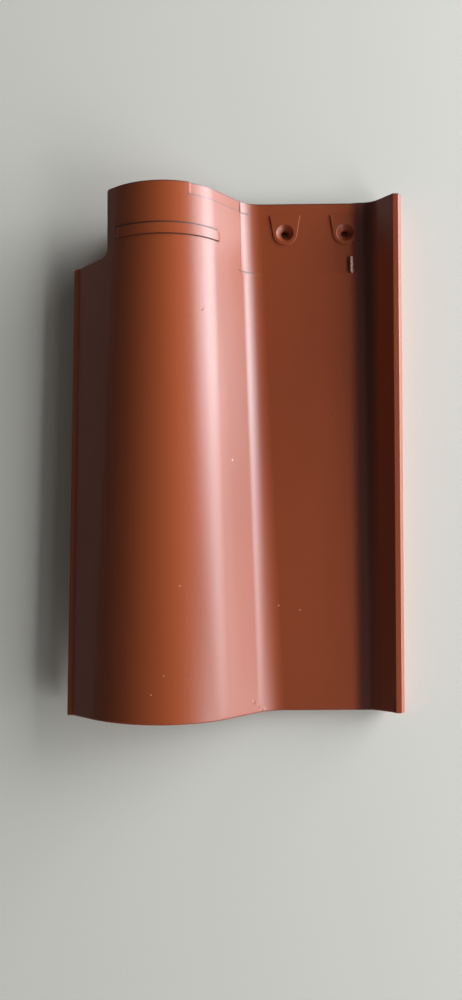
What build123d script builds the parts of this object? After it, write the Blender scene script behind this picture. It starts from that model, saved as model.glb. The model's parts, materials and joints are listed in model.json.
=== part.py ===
from build123d import *
import math
import os

os.makedirs("parts", exist_ok=True)

# Clay roof tile with an S section: a cover barrel, a flat water pan and a side lip, fired as one piece.
# Frame: +Y runs up the roof from the foot edge to the head edge, +X from barrel to lip, +Z up.
# The origin is on the floor, below the middle of the tile. All sizes are in millimetres.

# Whole tile
length = 400.0
width = 260.0
wall = 12.0
seat_flat = 0.3

# Cover barrel, at the foot and at the head: crown from the free edge, height over the pan, outer arcs
crown_run_foot = 74.5
crown_run_head = 77.5
rise_foot = 45.5
rise_head = 47.5
left_radius_foot = 87.0
left_radius_head = 58.0
right_radius_foot = 77.5
right_radius_head = 51.0
flank_slope = 38.5

# Free edge of the barrel: narrow level flange, which draws in towards the head
edge_taper = 6.5
flange_width = 4.5
flange_root_radius = 3.0
edge_face = 9.5
edge_radius = 1.8

# Concave fold between barrel and pan, and its run from the crown
fold_radius_foot = 33.5
fold_radius_head = 21.5
fold_run_foot = 94.0
fold_run_head = 74.0

# Side lip: its run from the outer face in to the pan, its height over the pan and its rim
lip_run_foot = 26.0
lip_run_head = 27.5
lip_rise_foot = 10.0
lip_rise_head = 17.5
lip_radius = 14.0
rim_width = 7.0
rim_bevel = 2.8
rim_bevel_slope = 45.0
rim_edge_radius = 0.8
lip_lean = 18.0
lip_heel_radius = 7.0

# Corner notch beside the head, cut a little askew, with rounded corners
notch_length = 55.0
notch_depth = 35.0
notch_slant = 4.5
notch_inner_radius = 6.0
notch_outer_radius = 2.5
outer_spill = 0.2
head_corner_radius = 2.0

# Headlap: sunk part of the pan, sunk band of the barrel at the head edge, raised weather rib
lap_length = 57.0
lap_sink = 1.4
lap_step_run = 3.0
lap_fold_reach = 16.0
lap_lip_gap = 5.0
band_length = 9.0
band_sink = 1.2
band_crown_gap = 21.0
band_fold_gap = 9.5
rib_from_head = 32.0
rib_width = 7.5
rib_height = 1.5
rib_left_reach = 33.5
rib_right_reach = 42.5

# Two countersunk nail holes, each in a low boss that flares and runs out towards the head
nail_from_head = 23.5
nail_fold_gap = 18.5
nail_lip_gap = 14.0
nail_hole_radius = 2.6
nail_sink_radius = 6.8
nail_sink_angle = 90.0
boss_radius = 9.6
boss_height = 1.6
boss_reach = 14.0
boss_flare = 2.4

# Small locating nib beside the lip
nib_from_head = 42.5
nib_length = 13.5
nib_width = 3.0
nib_height = 2.2
nib_lip_gap = 9.1

# Batten heel under the barrel, which reaches down to the level of the pan
heel_from_head = 14.0
heel_thickness = 14.0
heel_left_reach = 32.0
heel_right_reach = 18.0
heel_corner_radius = 4.5
heel_draft = 6.0

# Rounded arris along the top of the foot edge
foot_edge_radius = 1.6

# Least upward part of the normal of a face that belongs to the top skin
top_skin_rise = 0.2

pan_top = wall - seat_flat
foot_y = -length / 2
head_y = length / 2
above_all = pan_top + max(rise_foot, rise_head) + wall

# The rounding below the rim's bevel draws its corner in, so the corner stands this much further out
bevel_turn = math.radians(rim_bevel_slope + lip_lean) / 2
bevel_tilt = math.radians(rim_bevel_slope - lip_lean) / 2
rim_spread = rim_edge_radius * (math.cos(bevel_tilt) / math.cos(bevel_turn) - 1)


def along(foot_value, head_value, y):
    """Value at the station y of a size that changes evenly from foot to head."""
    share = (y - foot_y) / length
    return foot_value + (head_value - foot_value) * share


def on_circle(centre, radius, degrees):
    """Point of a circle at an angle counted from +X."""
    angle = math.radians(degrees)
    return (centre[0] + radius * math.cos(angle), centre[1] + radius * math.sin(angle))


def nearest(choices, place):
    """Corner or edge that lies nearest to a place, given in the frame of the choices."""
    return choices.sort_by_distance(Vector(*place))[0]


class Station:
    """Section of the tile at one place along its length, as tangent arcs and lines."""

    def __init__(self, y):
        self.y = y
        self.edge_x = -width / 2 + along(0.0, edge_taper, y)
        self.crown_x = -width / 2 + along(crown_run_foot, crown_run_head, y)
        self.crown_z = pan_top + along(rise_foot, rise_head, y)
        self.left_radius = along(left_radius_foot, left_radius_head, y)
        self.right_radius = along(right_radius_foot, right_radius_head, y)
        self.fold_radius = along(fold_radius_foot, fold_radius_head, y)
        self.pan_start = self.crown_x + along(fold_run_foot, fold_run_head, y)
        self.pan_end = width / 2 - along(lip_run_foot, lip_run_head, y)
        self.rim_z = pan_top + along(lip_rise_foot, lip_rise_head, y)
        self.left_centre = (self.crown_x, self.crown_z - self.left_radius)
        self.right_centre = (self.crown_x, self.crown_z - self.right_radius)
        self.fold_centre = (self.pan_start, pan_top + self.fold_radius)
        self.lip_centre = (self.pan_end, pan_top + lip_radius)
        self.flank_turn = self.common_tangent()

    def common_tangent(self):
        """Direction, from +X, of the radius where the barrel's right arc passes into its straight flank."""
        run = self.fold_centre[0] - self.right_centre[0]
        climb = self.fold_centre[1] - self.right_centre[1]
        opening = math.acos((self.right_radius + self.fold_radius) / math.hypot(run, climb))
        return math.degrees(math.atan2(climb, run) + opening)

    def flank_point(self, x, lift):
        """Point at x of the barrel's straight left flank, on a skin lifted by lift."""
        start = on_circle(self.left_centre, self.left_radius + lift, 90 + flank_slope)
        return (x, start[1] - (start[0] - x) * math.tan(math.radians(flank_slope)))

    def lip_tangent(self, rim_x):
        """Point where the lip's inner arc passes into the straight line up to the rim."""
        run = rim_x - self.lip_centre[0]
        climb = self.rim_z - self.lip_centre[1]
        opening = math.acos(lip_radius / math.hypot(run, climb))
        turn = math.degrees(math.atan2(climb, run) - opening)
        return on_circle(self.lip_centre, lip_radius, turn)

    def barrel_curve(self, lift, start_x):
        """Skin from start_x on the left flank over the barrel to the pan, inside a BuildLine."""
        start = self.flank_point(start_x, lift)
        left_end = on_circle(self.left_centre, self.left_radius + lift, 90 + flank_slope)
        left_mid = on_circle(self.left_centre, self.left_radius + lift, 90 + flank_slope / 2)
        crown = (self.crown_x, self.crown_z + lift)
        right_mid = on_circle(self.right_centre, self.right_radius + lift, (90 + self.flank_turn) / 2)
        right_end = on_circle(self.right_centre, self.right_radius + lift, self.flank_turn)
        fold_start = on_circle(self.fold_centre, self.fold_radius - lift, 180 + self.flank_turn)
        fold_mid = on_circle(self.fold_centre, self.fold_radius - lift, (180 + self.flank_turn + 270) / 2)
        fold_end = (self.pan_start, pan_top + lift)
        Line(start, left_end)
        ThreePointArc(left_end, left_mid, crown)
        ThreePointArc(crown, right_mid, right_end)
        Line(right_end, fold_start)
        ThreePointArc(fold_start, fold_mid, fold_end)
        return start, fold_end

    def plane(self):
        """Section plane of this station, seen from the foot, with x to the right and z up."""
        return Plane(origin=(0, self.y, 0), x_dir=(1, 0, 0), z_dir=(0, -1, 0))

    def tile_section(self):
        """Closed section of the whole tile, with its flanged free edge and its bevelled rim."""
        flange_x = self.edge_x + flange_width
        flange_z = self.flank_point(flange_x, 0)[1]
        edge_low_z = flange_z - edge_face
        under_climb = edge_low_z - self.flank_point(self.edge_x, -wall)[1]
        under_start_x = self.edge_x + under_climb / math.tan(math.radians(flank_slope))
        rim_x = width / 2 - rim_width
        bevel_x = width / 2 - rim_bevel
        bevel_z = self.rim_z - rim_bevel * math.tan(math.radians(rim_bevel_slope))
        side_x = width / 2 + rim_spread
        base_x = side_x - (bevel_z + seat_flat) * math.tan(math.radians(lip_lean))
        base = (base_x, -seat_flat)
        with BuildSketch(self.plane()) as section:
            with BuildLine():
                flange_root, pan_left = self.barrel_curve(0, flange_x)
                Line(pan_left, (self.pan_end, pan_top))
                lip_top = self.lip_tangent(rim_x)
                TangentArc((self.pan_end, pan_top), lip_top, tangent=(1, 0))
                Polyline(lip_top, (rim_x, self.rim_z), (bevel_x, self.rim_z), (side_x, bevel_z), base)
                under_edge, under_left = self.barrel_curve(-wall, under_start_x)
                Line(base, under_left)
                Polyline(under_edge, (self.edge_x, edge_low_z), (self.edge_x, flange_z), flange_root)
            make_face()
            roundings = [
                (flange_root, flange_root_radius),
                ((self.edge_x, flange_z), edge_radius),
                ((self.edge_x, edge_low_z), edge_radius),
                ((rim_x, self.rim_z), rim_edge_radius),
                ((bevel_x, self.rim_z), rim_edge_radius),
                ((side_x, bevel_z), rim_edge_radius),
                (base, lip_heel_radius),
            ]
            for corner, radius in roundings:
                fillet(nearest(section.vertices(), corner), radius)
        return section.sketch

    def skin_section(self, low, high):
        """Strip between two skins of barrel and pan, the one lifted by low and the other by high."""
        far_x = self.pan_end - lap_lip_gap
        with BuildSketch(self.plane()) as strip:
            with BuildLine():
                low_start, low_end = self.barrel_curve(low, self.edge_x)
                high_start, high_end = self.barrel_curve(high, self.edge_x)
                Line(low_start, high_start)
                Line(low_end, (far_x, low_end[1]))
                Line(high_end, (far_x, high_end[1]))
                Line((far_x, low_end[1]), (far_x, high_end[1]))
            make_face()
        return strip.sketch

    def hollow_section(self):
        """Space under the barrel down to the floor, up to the middle of its wall."""
        with BuildSketch(self.plane()) as hollow:
            with BuildLine():
                start, end = self.barrel_curve(-wall / 2, self.edge_x)
                Polyline(end, (end[0], 0), (start[0], 0), start)
            make_face()
        return hollow.sketch


def skin_band(high, *lows):
    """Solid between two skins, the upper lifted by high, the lower given as pairs of station and lift."""
    with BuildPart(mode=Mode.PRIVATE) as band:
        for y, low in lows:
            add(Station(y).skin_section(low, high))
        loft(ruled=True)
    return band.part


def plan_strip(x_low, x_high):
    """Upright block over the whole length that limits a band between two x."""
    with BuildPart(mode=Mode.PRIVATE) as limits:
        with BuildSketch(Plane.XY):
            with Locations(((x_low + x_high) / 2, 0)):
                Rectangle(x_high - x_low, length + 2 * wall)
        extrude(amount=above_all)
    return limits.part


head = Station(head_y)
rib_y = head_y - rib_from_head - rib_width / 2
rib_station = Station(rib_y)
nail_y = head_y - nail_from_head
nail_station = Station(nail_y)
spare = wall / 2
past_head = head_y + seat_flat

# Weather rib: a strip of skin lifted off the barrel
rib = skin_band(rib_height, (rib_y - rib_width / 2, -spare), (rib_y + rib_width / 2, -spare))
rib = rib & plan_strip(rib_station.crown_x - rib_left_reach, rib_station.crown_x + rib_right_reach)

# Headlap sink, with a sloped step at its foot side
lap_y = head_y - lap_length
step_lift = lap_sink / 2
step_run = lap_step_run / 2
lap_cut = skin_band(
    spare,
    (lap_y - step_run, step_lift),
    (lap_y + lap_step_run, -lap_sink),
    (past_head, -lap_sink),
)
lap_cut = lap_cut & plan_strip(head.pan_start - lap_fold_reach, width / 2)

# Sunk band at the head edge of the barrel
band_cut = skin_band(spare, (head_y - band_length, -band_sink), (past_head, -band_sink))
band_cut = band_cut & plan_strip(head.crown_x + band_crown_gap, head.pan_start - band_fold_gap)

# Batten heel: the hollow under the barrel, filled over a short length and drafted to its toe
heel_y = head_y - heel_from_head - heel_thickness / 2
heel_x = head.crown_x + (heel_right_reach - heel_left_reach) / 2
with BuildPart(mode=Mode.PRIVATE) as hollow_fill:
    add(Station(foot_y).hollow_section())
    add(head.hollow_section())
    loft(ruled=True)
with BuildPart(mode=Mode.PRIVATE) as heel_block:
    with BuildSketch(Plane.XY):
        with Locations((heel_x, heel_y)):
            RectangleRounded(heel_left_reach + heel_right_reach, heel_thickness, heel_corner_radius)
    extrude(amount=above_all, taper=-heel_draft)
heel = heel_block.part & hollow_fill.part

with BuildPart() as roof_tile:
    # Barrel, fold, pan and lip: foot section to head section, flattened where the tile sits
    add(Station(foot_y).tile_section())
    add(head.tile_section())
    loft(ruled=True)
    split(bisect_by=Plane.XY, keep=Keep.TOP)

    # Rounded arris along the top of the foot edge
    foot_face = faces().sort_by(Axis.Y)[0]
    top_skin = faces().filter_by(lambda face: face.normal_at().Z > top_skin_rise)
    fillet(foot_face.edges() & top_skin.edges(), foot_edge_radius)

    # Corner notch at the barrel side of the head
    notch_x = -width / 2 + notch_depth
    notch_y = head_y - notch_length
    notch_root = Vector(notch_x, notch_y + notch_slant)
    ledge_end = Vector(Station(notch_y).edge_x, notch_y)
    ledge_way = (ledge_end - notch_root).normalized()
    outer_start = ledge_end - ledge_way * notch_outer_radius
    outer_end = ledge_end - Vector(outer_spill, notch_outer_radius)
    with BuildSketch(Plane.XY):
        with BuildLine():
            Polyline((notch_x, past_head), notch_root, outer_start)
            TangentArc(outer_start, outer_end, tangent=ledge_way)
            Polyline(
                outer_end,
                (-width / 2 - wall, outer_end.Y),
                (-width / 2 - wall, past_head),
                (notch_x, past_head),
            )
        make_face()
        fillet(nearest(vertices(), notch_root), notch_inner_radius)
    extrude(amount=above_all, mode=Mode.SUBTRACT)
    head_corner = edges().filter_by(Axis.Z).sort_by(Axis.Y)[-1]
    fillet(head_corner, head_corner_radius)

    add(rib)
    add(heel)
    add(lap_cut, mode=Mode.SUBTRACT)
    add(band_cut, mode=Mode.SUBTRACT)

    # Nail bosses
    lap_top = pan_top - lap_sink
    nail_places = [
        (nail_station.pan_start + nail_fold_gap, nail_y),
        (nail_station.pan_end - nail_lip_gap, nail_y),
    ]
    with BuildSketch(Plane.XY.offset(pan_top / 2)):
        for place in nail_places:
            with Locations(place):
                Circle(boss_radius)
            with BuildLine():
                Polyline(
                    (place[0] - boss_radius, place[1]),
                    (place[0] + boss_radius, place[1]),
                    (place[0] + boss_radius + boss_flare, place[1] + boss_reach),
                    (place[0] - boss_radius - boss_flare, place[1] + boss_reach),
                    close=True,
                )
            make_face()
    extrude(amount=lap_top + boss_height - pan_top / 2)

    # Locating nib beside the lip
    with BuildSketch(Plane.XY.offset(pan_top / 2)):
        with Locations((head.pan_end - nib_lip_gap, head_y - nib_from_head - nib_length / 2)):
            SlotOverall(nib_length, nib_width, rotation=90)
    extrude(amount=lap_top + nib_height - pan_top / 2)

    # Nail holes
    with Locations(Plane.XY.offset(lap_top + boss_height)):
        with Locations(*nail_places):
            CounterSinkHole(
                radius=nail_hole_radius,
                counter_sink_radius=nail_sink_radius,
                counter_sink_angle=nail_sink_angle,
            )

roof_tile.part.label = "roof_tile"
export_step(roof_tile.part, "parts/roof_tile.step")
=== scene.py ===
import sys
import json
import logging
import math
from collections.abc import Callable
from dataclasses import dataclass, field
from enum import Enum

import bmesh
import bpy
from mathutils import Matrix, Vector

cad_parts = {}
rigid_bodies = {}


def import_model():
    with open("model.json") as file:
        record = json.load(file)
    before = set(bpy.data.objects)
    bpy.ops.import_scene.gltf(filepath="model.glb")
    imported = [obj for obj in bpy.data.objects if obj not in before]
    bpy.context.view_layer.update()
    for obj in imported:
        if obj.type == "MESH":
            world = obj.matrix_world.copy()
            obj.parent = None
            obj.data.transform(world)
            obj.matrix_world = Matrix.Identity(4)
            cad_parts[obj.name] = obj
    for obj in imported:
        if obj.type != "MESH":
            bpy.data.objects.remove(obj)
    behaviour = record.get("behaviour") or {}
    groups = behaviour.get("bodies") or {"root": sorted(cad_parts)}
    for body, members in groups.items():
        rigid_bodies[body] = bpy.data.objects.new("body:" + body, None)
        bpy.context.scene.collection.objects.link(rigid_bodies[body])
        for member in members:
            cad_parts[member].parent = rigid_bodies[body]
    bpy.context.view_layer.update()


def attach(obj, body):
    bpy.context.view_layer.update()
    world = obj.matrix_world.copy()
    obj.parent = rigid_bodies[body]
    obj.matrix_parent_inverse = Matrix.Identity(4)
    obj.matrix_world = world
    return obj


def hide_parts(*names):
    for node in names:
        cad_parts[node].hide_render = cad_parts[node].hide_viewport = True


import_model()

# Glazed clay roof tile with an S section: cover barrel, water pan and side lip in one fired piece.
# Row frame: +Y up the roof from foot edge to head edge, +X from barrel to lip, +Z up. The tile's own
# sizes are in millimetres, as on a drawing, and the finished mesh is brought to metres at its end.
# The floor, the lights and the camera are in metres.

MILLIMETRE = 0.001
ORIGIN = (0.0, 0.0, 0.0)
LEFT = (-1.0, 0.0, 0.0)
RIGHT = (1.0, 0.0, 0.0)
DOWN = (0.0, 0.0, -1.0)

# Corners closer than MERGE_GAP become one, and tests for a level allow LEVEL_SLACK, both in millimetres.
MERGE_GAP = 0.002
LEVEL_SLACK = 0.01

# Distance between the nodes of a shader, as laid out in its editor.
NODE_GAP = 180.0

Pair = tuple[float, float]
Triple = tuple[float, float, float]
Colour = tuple[float, float, float, float]
MeshPart = bmesh.types.BMVert | bmesh.types.BMEdge | bmesh.types.BMFace
Socket = bpy.types.NodeSocket
Feeds = dict[str | int, object]

log = logging.getLogger("roof_tile")


class Joining(Enum):
    """Ways in which one solid is worked into another."""

    ADD = "UNION"
    CUT = "DIFFERENCE"
    KEEP_COMMON = "INTERSECT"


class DrawingPlane(Enum):
    """Planes that outlines are drawn on. The value is the axis that turns counter-clockwise in them."""

    SECTION = (0.0, -1.0, 0.0)
    PLAN = (0.0, 0.0, 1.0)


class PartKind(Enum):
    """Kinds of mesh part. The value is the name of their list in a mesh."""

    VERT = "verts"
    EDGE = "edges"
    FACE = "faces"


def pick(piece: bpy.types.Object) -> None:
    """Selects one object alone and makes it the active one."""
    bpy.ops.object.select_all(action="DESELECT")
    piece.select_set(True)
    bpy.context.view_layer.objects.active = piece


def start_piece(name: str) -> bpy.types.Object:
    """Adds an empty piece at the origin and enters its edit mode.

    Args:
        name: Name of the piece.

    Returns:
        The new object, in edit mode, with no geometry yet.
    """
    bpy.ops.object.select_all(action="DESELECT")
    bpy.ops.mesh.primitive_plane_add(size=1.0, location=(0.0, 0.0, 0.0))
    piece = bpy.context.object
    piece.name = name
    piece.data.name = name
    bpy.ops.object.mode_set(mode="EDIT")
    bpy.ops.mesh.delete(type="VERT")
    return piece


def take_all() -> None:
    """Selects, in edit mode, all that is shown."""
    bpy.ops.mesh.select_all(action="SELECT")


def merge_all() -> None:
    """Merges, in edit mode, corners that lie on each other, and leaves all selected."""
    bpy.ops.mesh.select_mode(type="VERT")
    take_all()
    bpy.ops.mesh.remove_doubles(threshold=MERGE_GAP)
    take_all()


def bridge_shown() -> None:
    """Bridges, in edit mode, the two lines that are shown, and hides the skin between them."""
    take_all()
    bpy.ops.mesh.bridge_edge_loops()
    take_all()
    bpy.ops.mesh.hide(unselected=False)


def extrude(rise: float) -> None:
    """Extrudes, in edit mode, what is selected straight up."""
    bpy.ops.mesh.extrude_region_move(TRANSFORM_OT_translate={"value": (0.0, 0.0, rise)})


def raise_outline(rise: float) -> None:
    """Makes, in edit mode, a closed outline into a solid."""
    merge_all()
    bpy.ops.mesh.edge_face_add()
    extrude(rise)


def finish_edit() -> None:
    """Closes an edit with all faces turned outwards and goes back to object mode."""
    bpy.ops.mesh.reveal(select=False)
    merge_all()
    bpy.ops.mesh.normals_make_consistent(inside=False)
    bpy.ops.object.mode_set(mode="OBJECT")


def close_solid() -> None:
    """Joins, in edit mode, the skins of a drawn shell, closes its open ends and ends the edit."""
    bpy.ops.mesh.reveal(select=False)
    merge_all()
    bpy.ops.mesh.fill_holes(sides=0)
    finish_edit()


def trim(level: Triple, outward: Triple) -> None:
    """Cuts off, in edit mode, what lies past a plane, and closes the cut.

    Args:
        level: Point of the plane.
        outward: Direction of the part that is cut off.
    """
    take_all()
    bpy.ops.mesh.bisect(plane_co=level, plane_no=outward, clear_outer=True, use_fill=True)


def select_parts(piece: bpy.types.Object, kind: PartKind, wanted: Callable[[MeshPart], bool]) -> None:
    """Selects, in edit mode, the mesh parts that a test accepts.

    Args:
        piece: Object in edit mode.
        kind: Which kind of part is tested.
        wanted: Function from a part to True or False.
    """
    bpy.ops.mesh.select_mode(type=kind.name)
    bpy.ops.mesh.select_all(action="DESELECT")
    mesh = bmesh.from_edit_mesh(piece.data)
    for part in [part for part in getattr(mesh, kind.value) if wanted(part)]:
        part.select_set(True)
    mesh.select_flush_mode()
    bmesh.update_edit_mesh(piece.data)


def apply_modifier(piece: bpy.types.Object, kind: str, **settings: object) -> None:
    """Adds a modifier and applies it.

    Args:
        piece: Object in object mode.
        kind: Type of the modifier.
        settings: Properties of the modifier, by name.
    """
    pick(piece)
    bpy.ops.object.modifier_add(type=kind)
    modifier = piece.modifiers[-1]
    for name, value in settings.items():
        setattr(modifier, name, value)
    bpy.ops.object.modifier_apply(modifier=modifier.name)


def work_in(piece: bpy.types.Object, tool: bpy.types.Object, joining: Joining) -> None:
    """Works a tool solid into a piece with an exact boolean and removes the tool.

    Args:
        piece: Object that stays.
        tool: Closed solid that is used up.
        joining: How the two are combined.
    """
    apply_modifier(piece, "BOOLEAN", object=tool, operation=joining.value, solver="EXACT")
    bpy.data.objects.remove(tool)


class Pen:
    """Draws a chain of edges in edit mode: lines by extruding the last corner, arcs by spinning it."""

    def __init__(self, plane: DrawingPlane, level: float, start: Pair) -> None:
        """Sets the pen down.

        Args:
            plane: Plane of the drawing.
            level: Height of that plane along its own axis: y of a section, z of a plan.
            start: First corner on the plane.
        """
        self.plane = plane
        self.level = level
        self.place = Vector(start)
        bpy.ops.mesh.select_mode(type="VERT")
        bpy.ops.mesh.select_all(action="DESELECT")
        bpy.ops.mesh.primitive_plane_add(size=1.0, location=self.in_space(self.place))
        bpy.ops.mesh.merge(type="CENTER")

    def in_space(self, point: Vector) -> Vector:
        """Point of the drawing as a point in space."""
        if self.plane is DrawingPlane.SECTION:
            return Vector((point[0], self.level, point[1]))
        return Vector((point[0], point[1], self.level))

    def line(self, end: Pair, steps: int = 1) -> None:
        """Draws a straight line.

        Args:
            end: Its end.
            steps: Equal steps of the line.
        """
        end = Vector(end)
        step = self.in_space((end - self.place) / steps) - self.in_space(Vector((0.0, 0.0)))
        for _ in range(steps):
            bpy.ops.mesh.extrude_region_move(TRANSFORM_OT_translate={"value": step})
        self.place = end

    def arc(self, centre: Pair, degrees: float, steps: int) -> None:
        """Draws an arc.

        Args:
            centre: Centre of the arc.
            degrees: How far it turns, counter-clockwise where positive.
            steps: Steps of the arc.
        """
        bpy.ops.mesh.spin(
            steps=steps,
            angle=-math.radians(degrees),
            center=self.in_space(Vector(centre)),
            axis=self.plane.value,
        )
        spoke = self.place - Vector(centre)
        turned = Matrix.Rotation(math.radians(degrees), 2) @ spoke
        self.place = Vector(centre) + turned

    def rounded(self, corner: Pair, toward: Pair, radius: float, steps: int) -> None:
        """Draws on to a corner and round it.

        Args:
            corner: Sharp corner of the outline.
            toward: Any point on the line that follows it.
            radius: Radius of the rounding.
            steps: Steps of the rounding.
        """
        corner = Vector(corner)
        way_in = (corner - self.place).normalized()
        way_out = (Vector(toward) - corner).normalized()
        turn = way_out.angle_signed(way_in)
        reach = radius * math.tan(abs(turn) / 2)
        self.line(corner - way_in * reach)
        side = Vector((-way_in.y, way_in.x)) * math.copysign(radius, turn)
        self.arc(self.place + side, math.degrees(turn), steps)


def on_circle(centre: Pair, radius: float, degrees: float) -> Pair:
    """Point of a circle at an angle counted from +X."""
    angle = math.radians(degrees)
    return (centre[0] + radius * math.cos(angle), centre[1] + radius * math.sin(angle))


@dataclass(frozen=True)
class TileSizes:
    """Sizes of the pressed tile in millimetres, foot and head where its section changes."""

    length: float = 400.0
    width: float = 260.0
    wall: float = 12.0
    seat_flat: float = 0.3
    crown_run: Pair = (74.5, 77.5)
    rise: Pair = (45.5, 47.5)
    left_radius: Pair = (87.0, 58.0)
    right_radius: Pair = (77.5, 51.0)
    flank_slope: float = 38.5
    edge_taper: float = 6.5
    edge_inset: float = 0.04
    flange_width: float = 4.5
    flange_root_radius: float = 3.0
    edge_face: float = 9.5
    edge_radius: float = 1.8
    fold_radius: Pair = (33.5, 21.5)
    fold_run: Pair = (94.0, 74.0)
    lip_run: Pair = (26.0, 27.5)
    lip_rise: Pair = (10.0, 17.5)
    lip_radius: float = 14.0
    rim_width: float = 7.0
    rim_bevel: float = 2.8
    rim_edge_radius: float = 0.8
    lip_lean: float = 18.0
    lip_heel_radius: float = 7.0

    @property
    def pan_top(self) -> float:
        """Height of the pan's upper skin over the floor."""
        return self.wall - self.seat_flat

    @property
    def foot_y(self) -> float:
        """Place of the foot edge."""
        return -self.length / 2

    @property
    def head_y(self) -> float:
        """Place of the head edge."""
        return self.length / 2


class Section:
    """Section of the tile at one place along its length, as tangent arcs and lines."""

    def __init__(self, sizes: TileSizes, y: float) -> None:
        """Works the section out.

        Args:
            sizes: Sizes of the tile.
            y: Place of the section.
        """
        share = (y - sizes.foot_y) / sizes.length

        def along(pair: Pair) -> float:
            """Size at this section of a pair given at foot and head."""
            return pair[0] + (pair[1] - pair[0]) * share

        self.sizes = sizes
        self.y = y
        left_side = -sizes.width / 2
        self.edge_x = left_side + along((sizes.edge_inset, sizes.edge_taper))
        self.crown = (left_side + along(sizes.crown_run), sizes.pan_top + along(sizes.rise))
        self.left_radius = along(sizes.left_radius)
        self.right_radius = along(sizes.right_radius)
        self.fold_radius = along(sizes.fold_radius)
        self.pan_start = self.crown[0] + along(sizes.fold_run)
        self.pan_end = sizes.width / 2 - along(sizes.lip_run)
        self.rim_z = sizes.pan_top + along(sizes.lip_rise)
        self.left_centre = (self.crown[0], self.crown[1] - self.left_radius)
        self.right_centre = (self.crown[0], self.crown[1] - self.right_radius)
        self.fold_centre = (self.pan_start, sizes.pan_top + self.fold_radius)
        self.flank_turn = self.common_tangent()

    def common_tangent(self) -> float:
        """Finds where the barrel's right arc meets its straight flank.

        Returns:
            Direction of the arc's radius there, in degrees from +X.
        """
        run = self.fold_centre[0] - self.right_centre[0]
        climb = self.fold_centre[1] - self.right_centre[1]
        opening = math.acos((self.right_radius + self.fold_radius) / math.hypot(run, climb))
        return math.degrees(math.atan2(climb, run) + opening)

    def flank_point(self, x: float, lift: float) -> Pair:
        """Finds a point of the straight left flank.

        Args:
            x: Place across the tile.
            lift: Height of its skin over the tile's upper skin.

        Returns:
            The point.
        """
        start = on_circle(self.left_centre, self.left_radius + lift, 90 + self.sizes.flank_slope)
        drop = (start[0] - x) * math.tan(math.radians(self.sizes.flank_slope))
        return (x, start[1] - drop)

    def lip_arc(self, rim_x: float) -> tuple[Pair, float]:
        """Finds the lip's inner arc, which ends where the straight line to the rim touches it.

        Args:
            rim_x: Place of the rim's inner edge across the tile.

        Returns:
            The arc's centre, and how far it turns in degrees.
        """
        centre = (self.pan_end, self.sizes.pan_top + self.sizes.lip_radius)
        run = rim_x - centre[0]
        climb = self.rim_z - centre[1]
        opening = math.acos(self.sizes.lip_radius / math.hypot(run, climb))
        return centre, math.degrees(math.atan2(climb, run) - opening) + 90

    def draw_barrel(self, pen: Pen, lift: float, steps: "SectionSteps") -> None:
        """Draws the skin from the left flank over the barrel to the pan's edge.

        Args:
            pen: Pen that stands on the left flank of that skin.
            lift: Height of the skin over the tile's upper skin.
            steps: Steps of each stretch.
        """
        slope = self.sizes.flank_slope
        pen.line(on_circle(self.left_centre, self.left_radius + lift, 90 + slope), steps.left_flank)
        pen.arc(self.left_centre, -slope, steps.left_arc)
        pen.arc(self.right_centre, self.flank_turn - 90, steps.right_arc)
        fold_start = on_circle(self.fold_centre, self.fold_radius - lift, 180 + self.flank_turn)
        pen.line(fold_start, steps.right_flank)
        pen.arc(self.fold_centre, 90 - self.flank_turn, steps.fold)

    def draw_upper(self, steps: "SectionSteps") -> None:
        """Draws the upper outline from the free edge over barrel, pan and lip to the outer wall.

        Args:
            steps: Steps of each stretch.
        """
        sizes = self.sizes
        flange_x = self.edge_x + sizes.flange_width
        flange_z = self.flank_point(flange_x, 0.0)[1]
        left_end = on_circle(self.left_centre, self.left_radius, 90 + sizes.flank_slope)
        pen = Pen(DrawingPlane.SECTION, self.y, (self.edge_x, flange_z - sizes.edge_face / 2))
        pen.rounded((self.edge_x, flange_z), (flange_x, flange_z), sizes.edge_radius, steps.corner)
        pen.rounded((flange_x, flange_z), left_end, sizes.flange_root_radius, steps.corner)
        self.draw_barrel(pen, 0.0, steps)
        pen.line((self.pan_start + steps.pan_guard, sizes.pan_top))
        pen.line((self.pan_end - steps.pan_guard, sizes.pan_top), steps.pan)
        pen.line((self.pan_end, sizes.pan_top))
        rim_x = sizes.width / 2 - sizes.rim_width
        bevel_x = sizes.width / 2 - sizes.rim_bevel
        lip_centre, lip_turn = self.lip_arc(rim_x)
        pen.arc(lip_centre, lip_turn, steps.lip)
        rim = Vector((rim_x, self.rim_z))
        pen.line(tuple(rim - (rim - pen.place).normalized() * steps.rim_guard))
        side, base = self.outer_wall()
        pen.rounded((rim_x, self.rim_z), (bevel_x, self.rim_z), sizes.rim_edge_radius, steps.rim)
        pen.rounded((bevel_x, self.rim_z), side, sizes.rim_edge_radius, steps.rim)
        pen.rounded(side, base, sizes.rim_edge_radius, steps.rim)
        pen.line(tuple((Vector(side) + Vector(base)) / 2), steps.outer_wall)

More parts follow.
